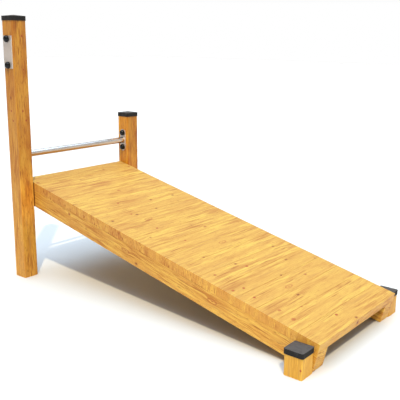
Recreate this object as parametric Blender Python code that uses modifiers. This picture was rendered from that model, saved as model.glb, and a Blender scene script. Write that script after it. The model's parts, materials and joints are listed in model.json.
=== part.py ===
"""Inclined timber sit-up bench for an outdoor exercise area.

Two posts stand at the high end: a tall one on the near side (-Y), which also carries a plate for a
neighbouring bar, and a short one on the far side (+Y). A steel foot bar joins them. The deck of planks
lies on two stringers and slopes down along +X to a pair of low posts. Sizes are in metres, +Z is up,
the posts stand on Z = 0, and the origin is under the middle of the whole bench.
"""

import math

import bmesh
import bpy
from mathutils import Matrix

# Clearance between neighbouring solids that touch on the real bench.
FIT_GAP = 0.0003

# Posts: square laminated timber. Heights run from the ground to the lower rim of the cap.
POST_SIZE = 0.100
POST_EDGE_RADIUS = 0.006
TALL_POST_HEIGHT = 1.620
SHORT_POST_HEIGHT = 0.971
LOW_POST_HEIGHT = 0.109
LOW_POST_START = 2.068

# Deck: planks laid across two stringers.
DECK_WIDTH = 0.850
DECK_SLOPE = math.radians(12.6)
DECK_START = 0.0193
PLANK_COUNT = 18
PLANK_PITCH = 0.124
PLANK_SEAM = 0.0006
PLANK_THICKNESS = 0.050
PLANK_CHAMFER = 0.0006
STRINGER_WIDTH = 0.100
STRINGER_DEPTH = 0.104
STRINGER_CHAMFER = 0.002
GROUND_CLEARANCE = 0.001

# Post caps: moulded plastic, a skirt round the post under a low pyramid.
CAP_WALL = 0.003
CAP_SKIRT = 0.027
CAP_RISE = 0.007

# Foot bar: steel tube welded between two flanges with rounded ends.
BAR_HEIGHT = 0.800
BAR_RADIUS = 0.0212
BAR_WALL = 0.0032
FLANGE_WIDTH = 0.052
FLANGE_HOLE_SPACING = 0.105
FLANGE_THICKNESS = 0.005
WELD_LEG = 0.004

# Plate near the top of the tall post, for the bar of a neighbouring module.
PLATE_WIDTH = 0.080
PLATE_HEIGHT = 0.195
PLATE_THICKNESS = 0.005
PLATE_CENTRE_HEIGHT = 1.435
PLATE_HOLE_SPACING = 0.156

# Coach screws: a hexagon head on a round collar. The head and the collar scale with the shank's radius.
BRACKET_SCREW_RADIUS = 0.005
BRACKET_SCREW_LENGTH = 0.080
JOINT_SCREW_RADIUS = 0.006
JOINT_SCREW_LENGTH = 0.155
HEAD_RADIUS_RATIO = 1.75
HEAD_HEIGHT_RATIO = 1.2
COLLAR_RADIUS_RATIO = 2.3
COLLAR_HEIGHT_RATIO = 0.4
SCREW_CLEARANCE = 0.0005

# Two-piece plastic cover of a bracket screw: a base under the head and a dome snapped over it.
COVER_RADIUS = 0.021
COVER_HEIGHT = 0.022
COVER_RIM = 0.003
COVER_WALL = 0.002
COVER_BASE_THICKNESS = 0.003

# Packers hold the stringers off the low posts, so that the caps clear the deck.
PACKER_LENGTH = 0.085
PACKER_HEIGHT = 0.075
PACKER_THICKNESS = 0.0035
PACKER_CENTRE_HEIGHT = 0.0625

# Screw holes that hold each plank from below: a counterbore in the stringer and a hole up into the plank.
PLANK_HOLE_RADIUS = 0.0045
PLANK_HOLE_DEPTH = 0.125
COUNTERBORE_RADIUS = 0.010
COUNTERBORE_DEPTH = 0.015

# Places that follow from the sizes above.
DECK_LENGTH = PLANK_COUNT * PLANK_PITCH
DECK_DEPTH = PLANK_THICKNESS + FIT_GAP + STRINGER_DEPTH
DECK_START_HEIGHT = (
    GROUND_CLEARANCE + DECK_LENGTH * math.sin(DECK_SLOPE) + DECK_DEPTH * math.cos(DECK_SLOPE)
)
STRINGER_SIDE = (DECK_WIDTH - STRINGER_WIDTH) / 2
STRINGER_INNER_FACE = DECK_WIDTH / 2 - STRINGER_WIDTH
HIGH_POST_CENTRE = POST_SIZE / 2
HIGH_POST_FACE = DECK_WIDTH / 2 + FIT_GAP
LOW_POST_CENTRE = LOW_POST_START + POST_SIZE / 2
LOW_POST_FACE = DECK_WIDTH / 2 + PACKER_THICKNESS + 2 * FIT_GAP
CAP_OVERHANG = FIT_GAP + CAP_WALL

BENCH_MIN_X = DECK_START - (DECK_DEPTH - STRINGER_CHAMFER) * math.sin(DECK_SLOPE)
BENCH_MAX_X = (
    DECK_START
    + (DECK_LENGTH - PLANK_SEAM / 2) * math.cos(DECK_SLOPE)
    - PLANK_CHAMFER * math.sin(DECK_SLOPE)
)
BENCH_MIN_Y = -(HIGH_POST_FACE + POST_SIZE + PLATE_THICKNESS + COVER_HEIGHT + 2 * FIT_GAP)
BENCH_MAX_Y = LOW_POST_FACE + POST_SIZE + CAP_OVERHANG

# The two sides, as signs of Y, and the turn that points a part's Z axis to each, with its Y axis up.
NEAR = -1
FAR = 1
FACING = {NEAR: (math.pi / 2, 0, 0), FAR: (math.pi / 2, 0, math.pi)}

# Pairs of joint screws, as (distance down the slope, depth below the deck's top).
HIGH_JOINT = ((0.045, 0.085), (0.085, 0.122))
LOW_JOINT = ((DECK_LENGTH - 0.042, 0.076), (DECK_LENGTH - 0.082, 0.122))

# Name: base colour, roughness, metallic.
FINISHES = {
    "post_timber": ((0.60, 0.31, 0.09), 0.45, 0.0),
    "stringer_timber": ((0.70, 0.39, 0.13), 0.45, 0.0),
    "deck_timber": ((0.86, 0.55, 0.20), 0.45, 0.0),
    "cap_plastic": ((0.035, 0.037, 0.042), 0.40, 0.0),
    "cover_plastic": ((0.010, 0.010, 0.011), 0.18, 0.0),
    "packer_plastic": ((0.030, 0.030, 0.030), 0.60, 0.0),
    "bar_steel": ((0.62, 0.60, 0.58), 0.22, 1.0),
    "bracket_steel": ((0.52, 0.49, 0.45), 0.45, 0.8),
    "fastener_steel": ((0.50, 0.50, 0.50), 0.40, 1.0),
}


# ---------------------------------------------------------------- scene and material helpers


def clear_scene():
    for obj in list(bpy.data.objects):
        bpy.data.objects.remove(obj, do_unlink=True)


def new_collection(name):
    collection = bpy.data.collections.new(name)
    bpy.context.scene.collection.children.link(collection)
    return collection


def new_material(name):
    color, roughness, metallic = FINISHES[name]
    material = bpy.data.materials.new(name)
    material.use_nodes = True
    shader = material.node_tree.nodes["Principled BSDF"]
    shader.inputs["Base Color"].default_value = (*color, 1.0)
    shader.inputs["Roughness"].default_value = roughness
    shader.inputs["Metallic"].default_value = metallic
    return material


def new_object(name, data, collection, location=(0, 0, 0), rotation=(0, 0, 0), parent=None):
    obj = bpy.data.objects.new(name, data)
    collection.objects.link(obj)
    obj.location = location
    obj.rotation_euler = rotation
    obj.parent = parent
    return obj


def new_part(name, mesh, finish, **placing):
    obj = new_object(name, mesh, PARTS, **placing)
    if not mesh.materials:
        mesh.materials.append(MATERIALS[finish])
    return obj


def new_tool(name, mesh, **placing):
    """A hidden body that only shapes other parts."""
    obj = new_object(name, mesh, TOOLS, **placing)
    obj.hide_render = True
    obj.display_type = "WIRE"
    return obj


# ---------------------------------------------------------------- meshes


def mesh_from(name, build):
    """A mesh made of what build() puts into an empty bmesh."""
    working = bmesh.new()
    build(working)
    mesh = bpy.data.meshes.new(name)
    working.to_mesh(mesh)
    working.free()
    return mesh


def box_mesh(name, size, centre=(0, 0, 0)):
    matrix = Matrix.Translation(centre) @ Matrix.Diagonal((*size, 1.0))
    return mesh_from(name, lambda bm: bmesh.ops.create_cube(bm, size=1.0, matrix=matrix))


def roofed_box_mesh(name, width, height, rise):
    """A square block that stands on Z = 0, with a low pyramid on top."""

    def build(bm):
        matrix = Matrix.Translation((0, 0, height / 2)) @ Matrix.Diagonal((width, width, height, 1.0))
        bmesh.ops.create_cube(bm, size=1.0, matrix=matrix)
        top = max(bm.faces, key=lambda face: face.calc_center_median().z)
        peak = bmesh.ops.poke(bm, faces=[top])["verts"][0]
        peak.co.z += rise

    return mesh_from(name, build)


def hexagon_mesh(name, radius, bottom, top):
    """An upright hexagonal prism with its corners on a circle."""

    def build(bm):
        bmesh.ops.create_cone(
            bm,
            cap_ends=True,
            segments=6,
            radius1=radius,
            radius2=radius,
            depth=top - bottom,
            matrix=Matrix.Translation((0, 0, (top + bottom) / 2)),
        )

    return mesh_from(name, build)


def profile_mesh(name, points, closed=False):
    """A line of (radius, height) points in the XZ plane, ready to be turned about Z."""

    def build(bm):
        verts = [bm.verts.new((radius, 0, height)) for radius, height in points]
        for start, end in zip(verts, verts[1:]):
            bm.edges.new((start, end))
        if closed:
            bm.edges.new((verts[-1], verts[0]))

    return mesh_from(name, build)


def obround_mesh(name, width, spacing, thickness):
    """A plate that stands on Z = 0, with round ends centred at half the spacing along Y."""
    arc_steps = 8
    outline = []
    for end in (1, -1):
        for step in range(arc_steps + 1):
            angle = math.pi * step / arc_steps
            x = end * width / 2 * math.cos(angle)
            y = end * (spacing + width * math.sin(angle)) / 2
            outline.append((x, y))

    curve = bpy.data.curves.new(name, "CURVE")
    curve.dimensions = "2D"
    curve.fill_mode = "BOTH"
    curve.extrude = thickness / 2
    spline = curve.splines.new("POLY")
    spline.points.add(len(outline) - 1)
    for point, (x, y) in zip(spline.points, outline):
        point.co = (x, y, 0, 1)
    spline.use_cyclic_u = True

    sketch = new_object(name, curve, TOOLS)
    graph = bpy.context.evaluated_depsgraph_get()
    filled = bpy.data.meshes.new_from_object(sketch.evaluated_get(graph))
    bpy.data.objects.remove(sketch, do_unlink=True)

    def build(bm):
        bm.from_mesh(filled)
        bmesh.ops.remove_doubles(bm, verts=bm.verts, dist=0.00001)
        bmesh.ops.translate(bm, verts=bm.verts, vec=(0, 0, thickness / 2))

    return mesh_from(name, build)


# ---------------------------------------------------------------- modifiers


def turn(obj, steps):
    """Turn the object's profile about its Z axis."""
    screw = obj.modifiers.new("turn", "SCREW")
    screw.steps = steps
    screw.render_steps = steps
    screw.use_merge_vertices = True
    screw.merge_threshold = 0.00001
    return obj


def chamfer(obj, width):
    bevel = obj.modifiers.new("chamfer", "BEVEL")
    bevel.width = width
    bevel.segments = 1
    bevel.limit_method = "ANGLE"
    return obj


def round_upright_edges(obj, radius):
    """Round only the edges that run along Z."""
    mesh = obj.data
    weights = mesh.attributes.new("bevel_weight_edge", "FLOAT", "EDGE")
    for edge in mesh.edges:
        start, end = (mesh.vertices[index].co for index in edge.vertices)
        weights.data[edge.index].value = float((start - end).xy.length < FIT_GAP)
    bevel = obj.modifiers.new("round", "BEVEL")
    bevel.width = radius
    bevel.segments = 3
    bevel.limit_method = "WEIGHT"
    return obj


def combine(obj, other, operation):
    boolean = obj.modifiers.new(operation.lower(), "BOOLEAN")
    boolean.object = other
    boolean.operation = operation
    boolean.solver = "EXACT"
    return obj


def apply_and_shade(obj):
    """Turn the modifiers into plain mesh, smooth across its round faces and sharp at its corners."""
    graph = bpy.context.evaluated_depsgraph_get()
    obj.data = bpy.data.meshes.new_from_object(obj.evaluated_get(graph))
    obj.data.name = obj.name
    obj.modifiers.clear()
    obj.data.shade_smooth()
    obj.data.set_sharp_from_angle(angle=math.radians(35))


# ---------------------------------------------------------------- shared hardware


def ring(name, inner_radius, outer_radius, length, steps, finish, **placing):
    """A tube or washer about Z that stands on Z = 0."""
    points = [(outer_radius, length), (outer_radius, 0), (inner_radius, 0), (inner_radius, length)]
    mesh = profile_mesh(name, points, closed=True)
    return turn(new_part(name, mesh, finish, **placing), steps)


def coach_screw(name, radius, length, seat, through, **placing):
    """A coach screw that points along -Z, and its hole in each part that it goes through.

    Its collar rests at the height called seat, and its hole ends just past its tip.
    """
    collar_radius = COLLAR_RADIUS_RATIO * radius
    collar_top = seat + COLLAR_HEIGHT_RATIO * radius
    head_top = collar_top + HEAD_HEIGHT_RATIO * radius
    tip = seat - length
    shank_points = [
        (0, collar_top),
        (collar_radius, collar_top),
        (collar_radius, seat),
        (radius, seat),
        (radius, tip + 2 * radius),
        (0, tip),
    ]
    shank_name = name + "_shank"
    shank = turn(new_tool(shank_name, profile_mesh(shank_name, shank_points), **placing), 12)
    head = hexagon_mesh(name, HEAD_RADIUS_RATIO * radius, seat, head_top)
    combine(new_part(name, head, "fastener_steel", **placing), shank, "UNION")

    hole_radius = radius + SCREW_CLEARANCE
    hole_end = tip - SCREW_CLEARANCE
    hole_points = [(0, seat), (hole_radius, seat), (hole_radius, hole_end), (0, hole_end)]
    hole_name = name + "_hole"
    hole = turn(new_tool(hole_name, profile_mesh(hole_name, hole_points), **placing), 12)
    for part in through:
        combine(part, hole, "DIFFERENCE")


def bolt_cover(name, **placing):
    """A domed shell that is open at its foot."""
    rise = COVER_HEIGHT - COVER_RIM
    arc_steps = 6
    points = []
    for step in range(arc_steps + 1):
        angle = math.pi / 2 * step / arc_steps
        points.append((COVER_RADIUS * math.sin(angle), COVER_RIM + rise * math.cos(angle)))
    points.append((COVER_RADIUS, 0))
    points.append((COVER_RADIUS - COVER_WALL, 0))
    for step in range(arc_steps, -1, -1):
        angle = math.pi / 2 * step / arc_steps
        radius = (COVER_RADIUS - COVER_WALL) * math.sin(angle)
        points.append((radius, COVER_RIM + (rise - COVER_WALL) * math.cos(angle)))
    return turn(new_part(name, profile_mesh(name, points), "cover_plastic", **placing), 24)


def covered_screws(name, side, face, centre_x, centre_z, spacing, through):
    """The upper and lower screws of a wall bracket, each on a cover base and under its dome.

    The bracket's front face is at Y = face and looks to the given side.
    """
    for label, offset in (("upper", spacing / 2), ("lower", -spacing / 2)):
        on_face = {
            "location": (centre_x, face + side * FIT_GAP, centre_z + offset),
            "rotation": FACING[side],
            "parent": BENCH,
        }
        ring(
            f"{name}_{label}_cover_base",
            BRACKET_SCREW_RADIUS + SCREW_CLEARANCE,
            COVER_RADIUS - COVER_WALL - FIT_GAP,
            COVER_BASE_THICKNESS,
            20,
            "cover_plastic",
            **on_face,
        )
        coach_screw(
            f"{name}_{label}_coach_screw",
            BRACKET_SCREW_RADIUS,
            BRACKET_SCREW_LENGTH,
            COVER_BASE_THICKNESS + FIT_GAP,
            through,
            **on_face,
        )
        bolt_cover(f"{name}_{label}_bolt_cover", **on_face)


# ---------------------------------------------------------------- posts and caps


def post_cap(name, cap_height, centre_x, centre_y):
    """A hollow cap: a pyramid roof on a square skirt, cut to rounded corners."""
    placing = {"location": (centre_x, centre_y, cap_height), "parent": BENCH}
    width = POST_SIZE + 2 * CAP_OVERHANG
    block = roofed_box_mesh(name, width, CAP_SKIRT, CAP_RISE)
    cap = new_part(name, block, "cap_plastic", **placing)

    outline = box_mesh(name + "_outline", (width, width, 4 * CAP_SKIRT))
    outline_tool = new_tool(name + "_outline", outline, **placing)
    round_upright_edges(outline_tool, POST_EDGE_RADIUS + CAP_OVERHANG)
    combine(cap, outline_tool, "INTERSECT")

    hollow_width = POST_SIZE + 2 * FIT_GAP
    ceiling = CAP_SKIRT - CAP_WALL
    hollow = box_mesh(name + "_hollow", (hollow_width, hollow_width, 2 * ceiling))
    hollow_tool = new_tool(name + "_hollow", hollow, **placing)
    round_upright_edges(hollow_tool, POST_EDGE_RADIUS + FIT_GAP)
    combine(cap, hollow_tool, "DIFFERENCE")


def capped_post(name, cap_height, centre_x, side, inner_face):
    """A post that reaches up inside its cap, with its inner face at the given distance from the middle."""
    centre_y = side * (inner_face + POST_SIZE / 2)
    post_cap(name + "_cap", cap_height, centre_x, centre_y)
    length = cap_height + CAP_SKIRT - CAP_WALL - FIT_GAP
    mesh = box_mesh(name, (POST_SIZE, POST_SIZE, length), (0, 0, length / 2))
    post = new_part(name, mesh, "post_timber", location=(centre_x, centre_y, 0), parent=BENCH)
    return round_upright_edges(post, POST_EDGE_RADIUS)


# ---------------------------------------------------------------- deck


def stringer(name, side):
    mesh = box_mesh(name, (DECK_LENGTH, STRINGER_WIDTH, STRINGER_DEPTH))
    centre = (DECK_LENGTH / 2, side * STRINGER_SIDE, STRINGER_DEPTH / 2 - DECK_DEPTH)
    beam = new_part(name, mesh, "stringer_timber", location=centre, parent=DECK)
    return chamfer(beam, STRINGER_CHAMFER)


def planks():
    """All the planks, from the high end down."""
    mesh = box_mesh("plank", (PLANK_PITCH - PLANK_SEAM, DECK_WIDTH, PLANK_THICKNESS))
    boards = []
    for index in range(PLANK_COUNT):
        centre = ((index + 0.5) * PLANK_PITCH, 0, -PLANK_THICKNESS / 2)
        board = new_part(f"plank_{index + 1:02d}", mesh, "deck_timber", location=centre, parent=DECK)
        boards.append(chamfer(board, PLANK_CHAMFER))
    return boards


def plank_screw_holes(name, side, parts):
    """One stepped hole for each plank, from the underside of a stringer up into the plank."""
    points = [
        (0, PLANK_HOLE_DEPTH),
        (PLANK_HOLE_RADIUS, PLANK_HOLE_DEPTH),
        (PLANK_HOLE_RADIUS, 0),
        (COUNTERBORE_RADIUS, 0),
        (COUNTERBORE_RADIUS, -2 * COUNTERBORE_DEPTH),
        (0, -2 * COUNTERBORE_DEPTH),
    ]
    first = (PLANK_PITCH / 2, side * STRINGER_SIDE, COUNTERBORE_DEPTH - DECK_DEPTH)
    holes = turn(new_tool(name, profile_mesh(name, points), location=first, parent=DECK), 8)
    row = holes.modifiers.new("row", "ARRAY")
    row.count = PLANK_COUNT
    row.use_relative_offset = False
    row.use_constant_offset = True
    row.constant_offset_displace = (PLANK_PITCH, 0, 0)
    for part in parts:
        combine(part, holes, "DIFFERENCE")


def packer(name, side):
    """The flat plastic packer between a stringer and a low post."""
    mesh = box_mesh(name, (PACKER_LENGTH, PACKER_THICKNESS, PACKER_HEIGHT))
    centre_y = side * (DECK_WIDTH / 2 + FIT_GAP + PACKER_THICKNESS / 2)
    centre = (LOW_POST_CENTRE, centre_y, PACKER_CENTRE_HEIGHT)
    return new_part(name, mesh, "packer_plastic", location=centre, parent=BENCH)


def joint_screws(name, side, joint, through):
    """Two coach screws from the inner face of a stringer, outwards into a post."""
    for label, (along, below) in zip(("upper", "lower"), joint):
        x = DECK_START + along * math.cos(DECK_SLOPE) - below * math.sin(DECK_SLOPE)
        z = DECK_START_HEIGHT - along * math.sin(DECK_SLOPE) - below * math.cos(DECK_SLOPE)
        coach_screw(
            f"{name}_{label}_joint_screw",
            JOINT_SCREW_RADIUS,
            JOINT_SCREW_LENGTH,
            FIT_GAP,
            through,
            location=(x, side * STRINGER_INNER_FACE, z),
            rotation=FACING[-side],
            parent=BENCH,
        )


# ---------------------------------------------------------------- foot bar and brackets


def bar_flange(name, side, post):
    """The flange that holds the foot bar to a post's inner face, with the weld round the bar."""
    back = side * (HIGH_POST_FACE - FIT_GAP)
    placing = {
        "location": (HIGH_POST_CENTRE, back, BAR_HEIGHT),
        "rotation": FACING[-side],
        "parent": BENCH,
    }
    mesh = obround_mesh(name, FLANGE_WIDTH, FLANGE_HOLE_SPACING, FLANGE_THICKNESS)
    flange = new_part(name, mesh, "bracket_steel", **placing)

    weld_inner = BAR_RADIUS + FIT_GAP
    weld_outer = weld_inner + WELD_LEG
    weld_points = [
        (weld_inner, FLANGE_THICKNESS + WELD_LEG),
        (weld_outer, FLANGE_THICKNESS),
        (weld_outer, FLANGE_THICKNESS / 2),
        (weld_inner, FLANGE_THICKNESS / 2),
    ]
    weld_name = name + "_weld"
    weld = new_tool(weld_name, profile_mesh(weld_name, weld_points, closed=True), **placing)
    combine(flange, turn(weld, 32), "UNION")

    front = back - side * FLANGE_THICKNESS
    covered_screws(
        name, -side, front, HIGH_POST_CENTRE, BAR_HEIGHT, FLANGE_HOLE_SPACING, [flange, post]
    )


def foot_bar():
    reach = HIGH_POST_FACE - FLANGE_THICKNESS - 2 * FIT_GAP
    ring(
        "foot_bar",
        BAR_RADIUS - BAR_WALL,
        BAR_RADIUS,
        2 * reach,
        32,
        "bar_steel",
        location=(HIGH_POST_CENTRE, reach, BAR_HEIGHT),
        rotation=FACING[NEAR],
        parent=BENCH,
    )


def mounting_plate(post):
    """The flat plate on the tall post's outer face."""
    back = NEAR * (HIGH_POST_FACE + POST_SIZE + FIT_GAP)
    front = back + NEAR * PLATE_THICKNESS
    mesh = box_mesh("mounting_plate", (PLATE_WIDTH, PLATE_THICKNESS, PLATE_HEIGHT))
    centre = (HIGH_POST_CENTRE, (back + front) / 2, PLATE_CENTRE_HEIGHT)
    plate = new_part("mounting_plate", mesh, "bracket_steel", location=centre, parent=BENCH)
    covered_screws(
        "plate", NEAR, front, HIGH_POST_CENTRE, PLATE_CENTRE_HEIGHT, PLATE_HOLE_SPACING, [plate, post]
    )


# ---------------------------------------------------------------- the bench


def build_bench():
    tall_post = capped_post("tall_post", TALL_POST_HEIGHT, HIGH_POST_CENTRE, NEAR, HIGH_POST_FACE)
    short_post = capped_post("short_post", SHORT_POST_HEIGHT, HIGH_POST_CENTRE, FAR, HIGH_POST_FACE)
    near_low_post = capped_post("near_low_post", LOW_POST_HEIGHT, LOW_POST_CENTRE, NEAR, LOW_POST_FACE)
    far_low_post = capped_post("far_low_post", LOW_POST_HEIGHT, LOW_POST_CENTRE, FAR, LOW_POST_FACE)

    near_stringer = stringer("near_stringer", NEAR)
    far_stringer = stringer("far_stringer", FAR)
    near_packer = packer("near_packer", NEAR)
    far_packer = packer("far_packer", FAR)
    boards = planks()
    plank_screw_holes("near_plank_holes", NEAR, [near_stringer, *boards])
    plank_screw_holes("far_plank_holes", FAR, [far_stringer, *boards])

    joint_screws("tall_post", NEAR, HIGH_JOINT, [near_stringer, tall_post])
    joint_screws("short_post", FAR, HIGH_JOINT, [far_stringer, short_post])
    joint_screws("near_low_post", NEAR, LOW_JOINT, [near_stringer, near_packer, near_low_post])
    joint_screws("far_low_post", FAR, LOW_JOINT, [far_stringer, far_packer, far_low_post])

    bar_flange("near_flange", NEAR, tall_post)
    bar_flange("far_flange", FAR, short_post)
    foot_bar()
    mounting_plate(tall_post)

    for obj in PARTS.objects:
        if obj.type == "MESH":
            apply_and_shade(obj)


clear_scene()
PARTS = new_collection("sit_up_bench")
TOOLS = new_collection("cutters")
MATERIALS = {name: new_material(name) for name in FINISHES}
BENCH = new_object(
    "bench",
    None,
    PARTS,
    location=(-(BENCH_MIN_X + BENCH_MAX_X) / 2, -(BENCH_MIN_Y + BENCH_MAX_Y) / 2, 0),
)
DECK = new_object(
    "deck", None, PARTS, location=(DECK_START, 0, DECK_START_HEIGHT), rotation=(0, DECK_SLOPE, 0), parent=BENCH
)
build_bench()
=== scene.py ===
"""Looks of the inclined timber sit-up bench: its materials, its small fittings, the light and the view."""

import json
import math

import bpy
from mathutils import Matrix, Vector


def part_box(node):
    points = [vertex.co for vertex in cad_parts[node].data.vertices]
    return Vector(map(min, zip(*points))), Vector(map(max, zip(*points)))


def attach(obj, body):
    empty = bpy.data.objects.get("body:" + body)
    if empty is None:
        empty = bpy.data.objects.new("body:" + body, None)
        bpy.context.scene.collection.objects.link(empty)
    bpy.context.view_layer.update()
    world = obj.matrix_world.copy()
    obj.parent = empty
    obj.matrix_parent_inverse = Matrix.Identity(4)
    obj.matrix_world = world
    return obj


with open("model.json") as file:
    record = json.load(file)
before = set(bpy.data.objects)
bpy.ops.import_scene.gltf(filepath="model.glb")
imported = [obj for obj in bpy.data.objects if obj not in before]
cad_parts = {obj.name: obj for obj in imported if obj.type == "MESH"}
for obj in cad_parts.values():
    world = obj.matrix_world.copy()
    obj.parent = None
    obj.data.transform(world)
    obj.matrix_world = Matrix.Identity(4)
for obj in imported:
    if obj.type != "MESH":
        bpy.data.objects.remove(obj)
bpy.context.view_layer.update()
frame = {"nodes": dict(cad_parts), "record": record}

NODES = frame["nodes"]


def box_centre(node):
    low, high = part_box(node)
    return (low + high) / 2


def box_size(node):
    low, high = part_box(node)
    return high - low


# Where the deck lies, from its first and last planks.
PLANK_COUNT = sum(name.startswith("plank_") for name in NODES)
DECK_RUN = box_centre(f"plank_{PLANK_COUNT:02d}") - box_centre("plank_01")
PLANK_PITCH = DECK_RUN.length / (PLANK_COUNT - 1)
SLOPE = math.atan2(-DECK_RUN.z, DECK_RUN.x)
DECK_WIDTH = box_size("plank_01").y
PLANK_THICKNESS = (
    box_size("plank_01").z * math.cos(SLOPE) - box_size("plank_01").x * math.sin(SLOPE)
) / math.cos(2 * SLOPE)
DOWN_SLOPE = DECK_RUN.normalized()
OUT_OF_DECK = Vector((math.sin(SLOPE), 0, math.cos(SLOPE)))
DECK_ORIGIN = (
    box_centre("plank_01") - DOWN_SLOPE * PLANK_PITCH / 2 + OUT_OF_DECK * PLANK_THICKNESS / 2
)


# ---------------------------------------------------------------- shader helpers


class Look:
    """A Principled material, with short calls that add nodes to it and join them."""

    def __init__(self, name):
        self.material = bpy.data.materials.new(name)
        self.material.use_nodes = True
        self.tree = self.material.node_tree
        self.shader = self.tree.nodes["Principled BSDF"]

    def feed(self, socket, value):
        if isinstance(value, bpy.types.NodeSocket):
            self.tree.links.new(value, socket)
        else:
            socket.default_value = value

    def node(self, kind, inputs=None, **settings):
        node = self.tree.nodes.new(kind)
        for key, value in settings.items():
            setattr(node, key, value)
        for key, value in (inputs or {}).items():
            self.feed(node.inputs[key], value)
        return node

    def math(self, operation, *values):
        node = self.node("ShaderNodeMath", dict(enumerate(values)), operation=operation)
        return node.outputs[0]

    def vector(self, operation, *values):
        node = self.node("ShaderNodeVectorMath", dict(enumerate(values)), operation=operation)
        return node.outputs["Value" if operation in ("LENGTH", "DOT_PRODUCT") else "Vector"]

    def combine(self, x, y, z):
        return self.node("ShaderNodeCombineXYZ", {0: x, 1: y, 2: z}).outputs[0]

    def separate(self, vector):
        return self.node("ShaderNodeSeparateXYZ", {0: vector}).outputs

    def noise(self, vector, detail=2.0, roughness=0.5):
        inputs = {"Vector": vector, "Scale": 1.0, "Detail": detail, "Roughness": roughness}
        return self.node("ShaderNodeTexNoise", inputs).outputs["Fac"]

    def stretch(self, vector, x, y, z):
        return self.vector("MULTIPLY", vector, (x, y, z))

    def fade(self, value, low, high, start=0.0, end=1.0):
        """A smooth step from start, where value is low, to end, where it is high."""
        inputs = {"Value": value, "From Min": low, "From Max": high, "To Min": start, "To Max": end}
        node = self.node("ShaderNodeMapRange", inputs, interpolation_type="SMOOTHSTEP")
        return node.outputs["Result"]

    def ramp(self, value, *stops):
        node = self.node("ShaderNodeValToRGB", {"Fac": value})
        elements = node.color_ramp.elements
        while len(elements) < len(stops):
            elements.new(0.5)
        for element, (position, color) in zip(elements, stops):
            element.position = position
            element.color = (*color, 1.0)
        return node.outputs["Color"]

    def mix(self, factor, first, second, blend="MIX"):
        first = (*first, 1.0) if isinstance(first, tuple) else first
        second = (*second, 1.0) if isinstance(second, tuple) else second
        node = self.node(
            "ShaderNodeMix", {0: factor, 6: first, 7: second}, data_type="RGBA", blend_type=blend
        )
        return node.outputs[2]

    def bump(self, height, strength, distance):
        inputs = {"Height": height, "Strength": strength, "Distance": distance}
        return self.node("ShaderNodeBump", inputs).outputs["Normal"]

    def set(self, **sockets):
        """Feed the shader's own sockets, named like base_color and specular_ior_level."""
        for name, value in sockets.items():
            socket = self.shader.inputs[name.replace("_", " ").title().replace("Ior", "IOR")]
            if isinstance(value, tuple) and len(value) == 3:
                value = (*value, 1.0)
            self.feed(socket, value)


def object_point(look):
    return look.node("ShaderNodeTexCoord").outputs["Object"]


def deck_point(look):
    """Position from the deck's upper corner: down the slope, across the bench, and out of the deck."""
    inputs = {"Vector": object_point(look), "Location": DECK_ORIGIN, "Rotation": (0, SLOPE, 0)}
    node = look.node("ShaderNodeMapping", inputs, vector_type="TEXTURE")
    return look.separate(node.outputs["Vector"])


# ---------------------------------------------------------------- timber

# Tones of each kind of timber: tan, gold, yellow, and the brown of its streaks.
DECK_TONES = ((0.395, 0.188, 0.037), (0.492, 0.282, 0.058), (0.560, 0.372, 0.072), (0.250, 0.080, 0.012))
STRINGER_TONES = ((0.428, 0.162, 0.018), (0.570, 0.275, 0.038), (0.665, 0.390, 0.058), (0.260, 0.068, 0.006))
POST_TONES = ((0.345, 0.110, 0.007), (0.461, 0.185, 0.014), (0.565, 0.277, 0.028), (0.190, 0.047, 0.003))

# Length and width of the streaks in each kind of timber, and how strong its small flecks are.
DECK_FIGURE = (0.38, 0.028, 0.48)
STRINGER_FIGURE = (0.24, 0.016, 0.60)
POST_FIGURE = (0.22, 0.014, 0.60)

# Colors of the small knots, of the placed ones, and of the soft stains in the grain.
KNOT_BROWN = (0.130, 0.022, 0.006)
KNOT_RED = (0.330, 0.032, 0.007)
PLACED_KNOT = (0.270, 0.027, 0.006)
STAIN_TONE = (0.320, 0.145, 0.045)

# Tints, which multiply a timber's color in one part of it.
# Painted shade: a dark line on the deck's sides in the crease at the high posts.
CREASE_SHADE_TINT = (0.26, 0.18, 0.14)
# Partly painted light: the planks' ends and edges redder than their tops, partly as end grain is.
PLANK_SIDE_TINT = (1.13, 0.92, 0.70)
LOWER_PLANK_SIDE_TINT = (1.19, 1.27, 1.25)
LOWER_STRINGER_TINT = (1.16, 1.22, 1.28)
# Painted light: the posts made lighter near the ground, and a painted glow on their faces over the deck.
GROUND_LIGHT_TINT = (1.30, 1.50, 2.00)
DECK_GLOW_TINT = (1.25, 1.18, 1.30)
SHORT_POST_TINT = (0.90, 0.80, 0.40)
# Painted light on the short post's side that faces the tall one.
SHORT_POST_LIT_SIDE_TINT = (1.32, 1.42, 1.10)
LOW_POST_TINT = (1.12, 1.24, 1.20)
FAR_LOW_POST_TINT = (0.88, 0.84, 0.90)

# The knots that stand out on the deck's top: metres down the slope, metres across, radius, and strength.
DECK_KNOTS = (
    (0.58, -0.15, 0.007, 1.0),
    (0.74, -0.19, 0.006, 1.0),
    (0.96, -0.19, 0.007, 1.0),
    (1.16, -0.16, 0.006, 1.0),
    (1.56, -0.09, 0.008, 1.0),
    (1.70, -0.31, 0.007, 1.0),
    (1.79, -0.34, 0.007, 1.0),
    (1.94, -0.33, 0.009, 0.7),
    (2.03, -0.34, 0.011, 0.7),
    (2.14, -0.10, 0.008, 1.0),
)
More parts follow.
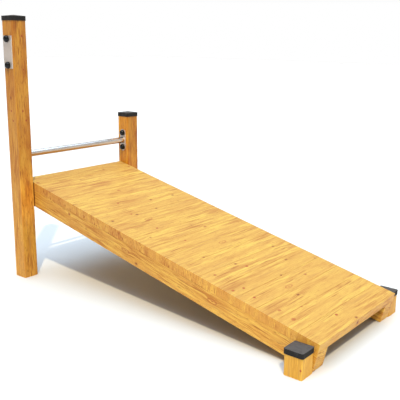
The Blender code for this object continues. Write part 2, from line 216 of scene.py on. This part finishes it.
# Small knots on the near posts: the post, its face, metres along the face from its edge with the lowest X or
# Y, height, and radius. The front face looks down the deck, and the outer one away from it.
POST_KNOTS = (
    ("tall_post", "front", 0.066, 1.53, 0.006),
    ("tall_post", "front", 0.066, 1.33, 0.004),
    ("tall_post", "front", 0.047, 1.08, 0.006),
    ("tall_post", "front", 0.068, 1.02, 0.006),
    ("tall_post", "outer", 0.048, 1.08, 0.006),
    ("tall_post", "outer", 0.063, 1.02, 0.005),
    ("near_low_post", "outer", 0.092, 0.05, 0.005),
)
# Sawn-through knots that show as an outlined eye: metres down the slope, then across the deck or out of it.
DECK_EYES = ((0.84, -0.14), (1.29, 0.03), (1.83, -0.07))
STRINGER_EYES = ((0.95, -0.094), (1.60, -0.094))
EYE_HALF_LENGTH = 0.036
EYE_HALF_WIDTH = 0.013
# How high on the high posts the deck meets them.
JOINT_HEIGHT = 0.52


def spot(look, first, second, centre, radii):
    """Distance from a centre in a plane, 1 on an ellipse with the given radii."""
    offset = look.combine(
        look.math("DIVIDE", look.math("SUBTRACT", first, centre[0]), radii[0]),
        look.math("DIVIDE", look.math("SUBTRACT", second, centre[1]), radii[1]),
        0.0,
    )
    return look.vector("LENGTH", offset)


def highest(look, values):
    result = values[0]
    for value in values[1:]:
        result = look.math("MAXIMUM", result, value)
    return result


def small_knots(look, along, across, through, board):
    """Knots scattered through the timber at a slant: mask, halo, how far they bend the grain, and color."""
    slant = look.math("MULTIPLY_ADD", through, 0.6, across)
    spread = look.combine(
        look.math("MULTIPLY_ADD", along, 5.0, look.math("MULTIPLY", board, 5.3)),
        look.math("MULTIPLY", slant, 7.0),
        0.0,
    )
    cells = look.node(
        "ShaderNodeTexVoronoi",
        {"Vector": spread, "Scale": 1.0, "Randomness": 1.0},
        voronoi_dimensions="2D",
    )
    distance = cells.outputs["Distance"]
    pick = look.separate(cells.outputs["Color"])

    # About half the cells have a knot, and each has its own radius.
    radius = look.fade(pick[0], 0.50, 1.0, 0.0, 0.044)
    past_edge = look.math("SUBTRACT", distance, radius)
    knot = look.fade(past_edge, -0.024, 0.004, 1.0, 0.0)
    halo = look.fade(past_edge, 0.0, 0.05, 0.5, 0.0)
    halo = look.math("MULTIPLY", halo, look.fade(radius, 0.01, 0.03))
    bend = look.fade(distance, 0.0, 0.24, 0.005, 0.0)
    bend = look.math("MULTIPLY", bend, look.fade(pick[0], 0.5, 1.0))
    tone = look.mix(look.fade(pick[1], 0.45, 0.75), KNOT_BROWN, KNOT_RED)
    return knot, halo, bend, tone


def timber(look, tones, figure, along, across, through, board, marks=0.0, rings=0.0, tints=(), vigour=1.0):
    """Streaky pine with its grain along.

    figure is the length and the width of its streaks, and the strength of its flecks. board is a number
    that sets one piece of timber off from the next. marks is a mask of placed knots, and rings is how far
    the grain bends round them. tints are pairs of a factor and the color that it multiplies by. vigour is
    how strong the streaks are.
    """
    tan, gold, yellow, brown = tones
    length, width, fleck_strength = figure
    shift = look.combine(*(look.math("MULTIPLY", board, step) for step in (3.71, 1.37, 2.13)))

    knot, halo, bend, knot_tone = small_knots(look, along, across, through, board)

    # The grain wanders a little along the timber, and bends round the knots.
    point = look.vector("ADD", look.combine(along, across, through), shift)
    wander = look.noise(look.stretch(point, 2.2, 5.0, 5.0), detail=2.0)
    bent = look.math("MULTIPLY_ADD", look.math("SUBTRACT", wander, 0.5), 0.016, across)
    bent = look.math("MULTIPLY_ADD", through, 0.22, bent)
    bent = look.math("ADD", look.math("ADD", bent, bend), rings)
    grain = look.vector("ADD", look.combine(along, bent, through), shift)

    bands = look.noise(look.stretch(grain, 1 / length, 1 / width, 0.15 / width), detail=6.0, roughness=0.70)
    lines = look.noise(look.stretch(grain, 1.9 / length, 4.2 / width, 1.2 / width), detail=4.0, roughness=0.6)
    flecks = look.noise(look.stretch(grain, 34.0, 190.0, 100.0), detail=2.0)
    fibres = look.noise(look.stretch(grain, 17.0, 430.0, 260.0), detail=2.0)
    patches = look.noise(look.stretch(grain, 1.4 / length, 0.36 / width, 0.3 / width), detail=2.0)

    tone = look.math("MULTIPLY_ADD", look.math("SUBTRACT", lines, 0.5), -0.42, bands)
    tone = look.math("MULTIPLY_ADD", look.math("SUBTRACT", fibres, 0.5), -0.15, tone)
    swing = look.fade(patches, 0.40, 0.60, 0.40, 1.35)
    swing = look.math("MULTIPLY", swing, look.math("MINIMUM", vigour, 1.0))
    tone = look.math("MULTIPLY_ADD", look.math("SUBTRACT", tone, 0.5), swing, 0.5)
    color = look.ramp(tone, (0.38, tan), (0.49, gold), (0.60, yellow))

    streak = look.math("MULTIPLY", look.fade(lines, 0.56, 0.66), look.fade(patches, 0.44, 0.58, 0.05, 0.95))
    streak = look.math("MULTIPLY", streak, vigour)
    color = look.mix(streak, color, brown)
    fleck = look.math("MULTIPLY", look.fade(flecks, 0.58, 0.70), look.fade(patches, 0.62, 0.44, 0.10, 1.0))
    fleck = look.math("MULTIPLY", fleck, look.math("MULTIPLY", fleck_strength, vigour))
    color = look.mix(fleck, color, brown)
    stain = look.noise(look.stretch(grain, 1.3 / length, 1.5 / width, 0.5 / width), detail=2.0)
    stain = look.math("MULTIPLY", look.fade(stain, 0.56, 0.72), look.fade(patches, 0.60, 0.42, 0.10, 0.40))
    color = look.mix(stain, color, STAIN_TONE)
    color = look.mix(look.fade(fibres, 0.40, 0.72, 0.0, 0.22), color, brown)

    # Each piece has its own shade.
    shade = look.node("ShaderNodeTexWhiteNoise", {"W": board}, noise_dimensions="1D").outputs["Value"]
    color = look.mix(look.fade(shade, 0.0, 1.0, 0.0, 0.20), color, tan)

    color = look.mix(halo, color, brown)
    color = look.mix(look.math("MULTIPLY", knot, 0.95), color, knot_tone)
    color = look.mix(look.math("MULTIPLY", marks, 0.90), color, PLACED_KNOT)
    for factor, tint in tints:
        color = look.mix(factor, color, tint, "MULTIPLY")

    relief = look.math("MULTIPLY_ADD", lines, 0.6, look.math("MULTIPLY", fibres, 0.4))
    look.set(
        base_color=color,
        roughness=look.fade(tone, 0.35, 0.65, 0.58, 0.46),
        specular_ior_level=0.40,
        normal=look.bump(relief, 0.30, 0.0006),
    )


def eye_marks(look, eyes):
    """The dark outline and pith of some eyes, and how far the grain bends round them."""
    outlines = []
    bends = []
    for eye in eyes:
        edge = look.math("ABSOLUTE", look.math("SUBTRACT", eye, 0.8))
        outline = look.fade(edge, 0.05, 0.30, 0.55, 0.0)
        pith = look.fade(eye, 0.10, 0.35, 0.65, 0.0)
        outlines.append(look.math("MAXIMUM", outline, pith))
        bends.append(look.fade(eye, 0.2, 2.0, 0.010, 0.0))
    return highest(look, outlines), highest(look, bends)


def corner_shade(look, across):
    """A tint for painted shade on the deck's sides, a dark line in the corner that they make with the high
    posts.
    """
    x = look.separate(object_point(look))[0]
    near_post = look.fade(look.math("SUBTRACT", x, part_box("tall_post")[1].x), 0.002, 0.009, 1.0, 0.0)
    on_side = look.fade(look.math("ABSOLUTE", across), DECK_WIDTH / 2 - 0.003, DECK_WIDTH / 2 - 0.001)
    return look.math("MULTIPLY", near_post, on_side), CREASE_SHADE_TINT


def deck_timber():
    look = Look("deck_pine")
    down, across, out = deck_point(look)
    board = look.math("FLOOR", look.math("DIVIDE", down, PLANK_PITCH))

    # Placed knots and eyes belong to the top only, so they fade out below it.
    top = look.fade(out, -0.006, -0.002)
    spots = [
        look.fade(spot(look, down, across, (x, y), (radius, 1.35 * radius)), 0.65, 1.25, strength, 0.0)
        for x, y, radius, strength in DECK_KNOTS
    ]
    eyes = [spot(look, down, across, eye, (EYE_HALF_WIDTH, EYE_HALF_LENGTH)) for eye in DECK_EYES]
    marks, rings = eye_marks(look, eyes)
    marks = look.math("MULTIPLY", highest(look, [*spots, marks]), top)
    rings = look.math("MULTIPLY", rings, top)

    # The planks' ends and edges are redder than their tops, partly as end grain is and partly as painted
    # light, and the lower ones are paler again. The streaks get weaker down the slope.
    facing = look.vector("DOT_PRODUCT", look.node("ShaderNodeTexCoord").outputs["Normal"], tuple(OUT_OF_DECK))
    side = look.fade(look.math("ABSOLUTE", facing), 0.3, 0.8, 1.0, 0.0)
    lower_side = look.math("MULTIPLY", side, look.fade(down, 0.5, 1.9))
    # The last tint is painted shade in the crease at the high posts.
    tints = [(side, PLANK_SIDE_TINT), (lower_side, LOWER_PLANK_SIDE_TINT), corner_shade(look, across)]
    vigour = look.fade(down, 0.2, 1.9, 1.65, 0.85)
    timber(look, DECK_TONES, DECK_FIGURE, across, down, out, board, marks, rings, tints, vigour)
    return look.material


def stringer_timber():
    look = Look("stringer_pine")
    down, across, out = deck_point(look)
    board = look.math("ADD", look.math("SIGN", across), 40.0)
    eyes = [spot(look, down, out, eye, (EYE_HALF_LENGTH, EYE_HALF_WIDTH)) for eye in STRINGER_EYES]
    marks, rings = eye_marks(look, eyes)
    # The grain runs out of the beam a little, as in timber sawn off its axis.
    run_out = look.math("MULTIPLY_ADD", down, 0.035, out)
    # The last tint is painted shade in the crease at the high posts.
    tints = [(look.fade(down, 0.6, 1.9), LOWER_STRINGER_TINT), corner_shade(look, across)]
    timber(look, STRINGER_TONES, STRINGER_FIGURE, down, run_out, across, board, marks, rings, tints)
    return look.material


def post_knots(look, x, y, z, front, outer):
    """A mask of the small knots on the near posts."""
    marks = []
    for post, face, inward, height, radius in POST_KNOTS:
        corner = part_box(post)[0]
        sideways, start, facing = (y, corner.y, front) if face == "front" else (x, corner.x, outer)
        distance = spot(look, sideways, z, (start + inward, height), (radius, 1.3 * radius))
        marks.append(look.math("MULTIPLY", look.fade(distance, 0.65, 1.25, 1.0, 0.0), facing))
    return highest(look, marks)


def post_timber():
    look = Look("post_pine")
    x, y, z = look.separate(object_point(look))
    board = look.math("ADD", look.math("MULTIPLY", look.math("SIGN", x), 2.0), look.math("SIGN", y))
    board = look.math("ADD", board, 60.0)
    # Painted light makes the timber lighter towards the ground, and a painted glow brightens the faces over
    # the deck round the joints. The short post is a deeper orange, with painted light on the side that faces
    # the tall one. The low posts are paler and their streaks weaker, and the far one is a little darker than
    # the near one.
    near_ground = look.fade(z, 0.95, 0.0)
    normal_x, normal_y, _ = look.separate(look.node("ShaderNodeTexCoord").outputs["Normal"])
    front = look.fade(normal_x, 0.3, 0.7)
    outer = look.fade(normal_y, -0.3, -0.7)
    # A painted glow on the posts' faces over the deck, round the joints.
    deck_glow = look.fade(look.math("ABSOLUTE", look.math("SUBTRACT", z, JOINT_HEIGHT)), 0.25, 0.05)
    deck_glow = look.math("MULTIPLY", deck_glow, front)
    far = look.fade(y, 0.0, 0.1)
    short = look.math("MULTIPLY", look.fade(x, 0.0, -0.1), far)
    low = look.fade(x, 0.0, 0.1)
    tints = [
        (near_ground, GROUND_LIGHT_TINT),
        (deck_glow, DECK_GLOW_TINT),
        (short, SHORT_POST_TINT),
        (look.math("MULTIPLY", short, outer), SHORT_POST_LIT_SIDE_TINT),
        (low, LOW_POST_TINT),
        (look.math("MULTIPLY", low, far), FAR_LOW_POST_TINT),
    ]
    vigour = look.math("MULTIPLY_ADD", low, -0.60, 1.0)
    marks = post_knots(look, x, y, z, front, outer)
    timber(look, POST_TONES, POST_FIGURE, z, x, y, board, marks, tints=tints, vigour=vigour)
    return look.material


# ---------------------------------------------------------------- plastic and steel

# The painted sheen on the caps' tops, the deck's painted reflection under the foot bar, and the painted
# sheen on the edges of flat steel.
CAP_TOP_SHEEN = (0.074, 0.066, 0.063)
DECK_REFLECTION_COLOR = (0.53, 0.355, 0.215)
EDGE_SHEEN_COLOR = (0.80, 0.82, 0.88)


def moulded_plastic(name, color, roughness, grain_height, specular, top_sheen=None):
    """Plastic with a fine moulded grain and faint scuffs, and a patchy painted sheen of a color on what faces
    up.
    """
    look = Look(name)
    point = object_point(look)
    grain = look.noise(look.stretch(point, 900.0, 900.0, 900.0), detail=2.0)
    scuffs = look.noise(look.stretch(point, 45.0, 45.0, 20.0), detail=4.0, roughness=0.65)
    worn = tuple(channel * 2.0 + 0.004 for channel in color)
    base = look.mix(look.fade(scuffs, 0.45, 0.8), color, worn)
    if top_sheen:
        # Painted sheen: what faces up is made lighter, in patches.
        upward = look.separate(look.node("ShaderNodeTexCoord").outputs["Normal"])[2]
        sheen_mask = look.math("MULTIPLY", look.fade(upward, 0.3, 0.95), look.fade(scuffs, 0.25, 0.6, 0.6, 1.0))
        base = look.mix(sheen_mask, base, top_sheen)
    look.set(
        base_color=base,
        roughness=look.fade(scuffs, 0.3, 0.8, roughness, roughness + 0.10),
        specular_ior_level=specular,
        normal=look.bump(grain, 0.3, grain_height),
    )
    return look.material


def steel(name, color, roughness, stretch, metallic=1.0, under=None, edge=None):
    """Steel with fine brushing: stretch is how often the brushed lines repeat along X, Y and Z.

    under is the color of a painted reflection on what faces down, and edge the color of a painted
    sheen on what faces along X.
    """
    look = Look(name)
    point = object_point(look)
    sideways, _, upward = look.separate(look.node("ShaderNodeTexCoord").outputs["Normal"])
    brushing = look.noise(look.stretch(point, *stretch), detail=3.0, roughness=0.7)
    stain = look.noise(look.stretch(point, 14.0, 14.0, 14.0), detail=3.0)
    dull = tuple(channel * 0.82 for channel in color)
    base = look.mix(look.fade(stain, 0.35, 0.75), color, dull)
    if under:
        # Painted reflection: what faces down takes the color under, like the deck beneath.
        base = look.mix(look.fade(upward, 0.30, 0.0), base, under)
    if edge:
        # Painted sheen: what faces along X is made brighter.
        base = look.mix(look.fade(look.math("ABSOLUTE", sideways), 0.6, 0.95), base, edge)
    look.set(
        base_color=base,
        metallic=metallic,
        roughness=look.fade(brushing, 0.2, 0.8, roughness - 0.06, roughness + 0.08),
        normal=look.bump(brushing, 0.12, 0.0002),
    )
    return look.material


LOOKS = {
    "post_timber": post_timber(),
    "stringer_timber": stringer_timber(),
    "deck_timber": deck_timber(),
    # The caps' tops get a painted sheen.
    "cap_plastic": moulded_plastic("cap_plastic", (0.019, 0.018, 0.018), 0.62, 0.0003, 0.10, CAP_TOP_SHEEN),
    "cover_plastic": moulded_plastic("cover_plastic", (0.001, 0.001, 0.001), 0.14, 0.00005, 0.28),
    "packer_plastic": moulded_plastic("packer_plastic", (0.02, 0.02, 0.02), 0.55, 0.0004, 0.5),
    # The foot bar's underside gets a painted reflection of the deck.
    "bar_steel": steel("bar_steel", (0.94, 0.94, 0.97), 0.20, (900.0, 12.0, 900.0), under=DECK_REFLECTION_COLOR),
    # The flat steel's edges get a painted sheen.
    "bracket_steel": steel(
        "bracket_steel", (0.50, 0.43, 0.385), 0.46, (700.0, 700.0, 16.0), 0.6, edge=EDGE_SHEEN_COLOR
    ),
    "fastener_steel": steel("fastener_steel", (0.60, 0.59, 0.57), 0.36, (500.0, 500.0, 500.0)),
}

for entry in frame["record"]["subparts"]:
    slots = NODES[entry["node"]].data.materials
    for index in range(len(slots)):
        slots[index] = LOOKS[entry["material_slot"]]


# ---------------------------------------------------------------- plank screws

# One hexagon-socket screw holds each plank to each stringer from below, in the holes that the frame has.
SHANK_RADIUS = 0.0040
SHANK_LENGTH = 0.108
TIP_LENGTH = 0.010
TIP_RADIUS = 0.0004
WASHER_RADIUS = 0.0085
WASHER_THICKNESS = 0.0014
WASHER_ROUNDING = 0.0004
HEAD_RADIUS = 0.0066
HEAD_HEIGHT = 0.0064
HEAD_ROUNDING = 0.0008
SOCKET_APOTHEM = 0.0026
SOCKET_DEPTH = 0.0032
SOCKET_CHAMFER = 0.0003
COUNTERBORE_DEPTH = 0.015
RING_POINTS = 24


def circle(radius, height):
    turns = [2 * math.pi * step / RING_POINTS for step in range(RING_POINTS)]
    return [(radius * math.cos(turn), radius * math.sin(turn), height) for turn in turns]


def hexagon(apothem, height):
    """A ring of points on a hexagon with two corners on the X axis."""
    points = []
    for step in range(RING_POINTS):
        turn = 2 * math.pi * step / RING_POINTS
        radius = apothem / math.cos(turn % (math.pi / 3) - math.pi / 6)
        points.append((radius * math.cos(turn), radius * math.sin(turn), height))
    return points


def plank_screw_mesh():
    """A screw along Z, with the seat of its washer at Z = 0 and its shank below."""
    top = WASHER_THICKNESS + HEAD_HEIGHT
    rings = [
        circle(TIP_RADIUS, -SHANK_LENGTH),
        circle(SHANK_RADIUS, TIP_LENGTH - SHANK_LENGTH),
        circle(SHANK_RADIUS, 0),
        circle(WASHER_RADIUS, 0),
        circle(WASHER_RADIUS, WASHER_THICKNESS * 0.8),
        circle(WASHER_RADIUS - WASHER_ROUNDING, WASHER_THICKNESS),
        circle(HEAD_RADIUS, WASHER_THICKNESS),
        circle(HEAD_RADIUS, top - HEAD_ROUNDING),
        circle(HEAD_RADIUS - HEAD_ROUNDING, top),
        hexagon(SOCKET_APOTHEM + SOCKET_CHAMFER, top),
        hexagon(SOCKET_APOTHEM, top - SOCKET_CHAMFER),
        hexagon(SOCKET_APOTHEM, top - SOCKET_DEPTH),
    ]
    points = [point for ring in rings for point in ring]
    faces = []
    for lower in range(len(rings) - 1):
        for step in range(RING_POINTS):
            following = (step + 1) % RING_POINTS
            first = lower * RING_POINTS
            faces.append(
                (first + step, first + following, first + RING_POINTS + following, first + RING_POINTS + step)
            )
    last = (len(rings) - 1) * RING_POINTS
    faces.append(tuple(reversed(range(RING_POINTS))))
    faces.append(tuple(range(last, last + RING_POINTS)))
    mesh = bpy.data.meshes.new("plank_screw")
    mesh.from_pydata(points, [], faces)
    mesh.shade_smooth()
    mesh.set_sharp_from_angle(angle=math.radians(35))
    mesh.materials.append(LOOKS["fastener_steel"])
    return mesh


def add_plank_screws():
    """One screw for each plank in each stringer, head down in the stringer's counterbore."""
    mesh = plank_screw_mesh()
    across = Vector((0, 1, 0))
    turn = Matrix((DOWN_SLOPE, -across, -OUT_OF_DECK)).transposed().to_4x4()
    low_corner = min(
        (Vector(vertex.co) - DECK_ORIGIN).dot(OUT_OF_DECK) for vertex in NODES["near_stringer"].data.vertices
    )
    for side in ("near", "far"):
        stringer_y = box_centre(f"{side}_stringer").y
        for number in range(PLANK_COUNT):
            place = DECK_ORIGIN + DOWN_SLOPE * (number + 0.5) * PLANK_PITCH
            place += OUT_OF_DECK * (low_corner + COUNTERBORE_DEPTH)
            place.y = stringer_y
            screw = bpy.data.objects.new(f"{side}_plank_{number + 1:02d}_screw", mesh)
            screw.matrix_world = Matrix.Translation(place) @ turn
            bpy.context.scene.collection.objects.link(screw)
            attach(screw, "root")


add_plank_screws()


# ---------------------------------------------------------------- floor, light and view

FLOOR_SIZE = 80.0
FLOOR_COLOR = (0.60, 0.60, 0.60)


def add_floor():
    """A plain pale floor that reaches the horizon."""
    mesh = bpy.data.meshes.new("floor")
    half = FLOOR_SIZE / 2
    corners = [(-half, -half, 0), (half, -half, 0), (half, half, 0), (-half, half, 0)]
    mesh.from_pydata(corners, [], [(0, 1, 2, 3)])
    look = Look("floor")
    look.set(base_color=FLOOR_COLOR, roughness=0.9, specular_ior_level=0.1)
    mesh.materials.append(look.material)
    floor = bpy.data.objects.new("floor", mesh)
    bpy.context.scene.collection.objects.link(floor)


# Colors of the background, and between which heights of the view's direction each gives way to the next.
HORIZON_COLOR = (1.0, 1.0, 1.0)
HORIZON_EDGE = (0.05, 0.10)
DOME_COLOR = (0.48, 0.44, 0.38)
OVERHEAD_COLOR = (3.25, 4.05, 4.90)
OVERHEAD_EDGE = (0.68, 0.96)


def soft_overhead_light():
    """A white horizon under a dim dome, with a broad, slightly blue light overhead."""
    world = bpy.data.worlds.new("studio")
    world.use_nodes = True
    bpy.context.scene.world = world
    tree = world.node_tree
    direction = tree.nodes.new("ShaderNodeTexCoord")
    parts = tree.nodes.new("ShaderNodeSeparateXYZ")
    tree.links.new(direction.outputs["Generated"], parts.inputs[0])

    def blend(low, high, first, second):
        """From the first color to the second as the direction's height goes from low to high."""
        amount = tree.nodes.new("ShaderNodeMapRange")
        amount.interpolation_type = "SMOOTHSTEP"
        tree.links.new(parts.outputs["Z"], amount.inputs["Value"])
        amount.inputs["From Min"].default_value = low
        amount.inputs["From Max"].default_value = high
        mix = tree.nodes.new("ShaderNodeMix")
        mix.data_type = "RGBA"
        tree.links.new(amount.outputs["Result"], mix.inputs[0])
        for index, color in ((6, first), (7, second)):
            if isinstance(color, tuple):
                mix.inputs[index].default_value = (*color, 1.0)
            else:
                tree.links.new(color, mix.inputs[index])
        return mix.outputs[2]

    low_sky = blend(*HORIZON_EDGE, HORIZON_COLOR, DOME_COLOR)
    sky = blend(*OVERHEAD_EDGE, low_sky, OVERHEAD_COLOR)
    tree.links.new(sky, tree.nodes["Background"].inputs["Color"])


SUN_TRAVEL = Vector((-0.50, 0.52, -1.0))
SUN_STRENGTH = 2.45
SUN_WIDTH = math.radians(1.5)
SUN_COLOR = (1.0, 0.82, 0.53)


def add_sun():
    """A warm light from the near side that throws the deck's shadow on the floor."""
    light = bpy.data.lights.new("sun", "SUN")
    light.energy = SUN_STRENGTH
    light.angle = SUN_WIDTH
    light.color = SUN_COLOR
    sun = bpy.data.objects.new("sun", light)
    sun.rotation_euler = SUN_TRAVEL.to_track_quat("-Z", "Y").to_euler()
    bpy.context.scene.collection.objects.link(sun)


CAMERA_PLACE = Vector((2.4409, -2.9574, 1.5170))
CAMERA_YAW = math.radians(39.016)
CAMERA_PITCH = math.radians(13.586)
CAMERA_ROLL = math.radians(0.640)
LENS_MM = 59.50
SENSOR_MM = 36.0


def add_camera():
    """A camera that looks along +Y before it is turned by its yaw, tipped down by its pitch, and rolled."""
    data = bpy.data.cameras.new("camera")
    data.lens = LENS_MM
    data.sensor_width = SENSOR_MM
    camera = bpy.data.objects.new("camera", data)
    camera.matrix_world = (
        Matrix.Translation(CAMERA_PLACE)
        @ Matrix.Rotation(CAMERA_YAW, 4, "Z")
        @ Matrix.Rotation(math.pi / 2 - CAMERA_PITCH, 4, "X")
        @ Matrix.Rotation(CAMERA_ROLL, 4, "Z")
    )
    bpy.context.scene.collection.objects.link(camera)
    bpy.context.scene.camera = camera


add_floor()
soft_overhead_light()
add_sun()
add_camera()
bpy.context.scene.view_settings.view_transform = "Standard"
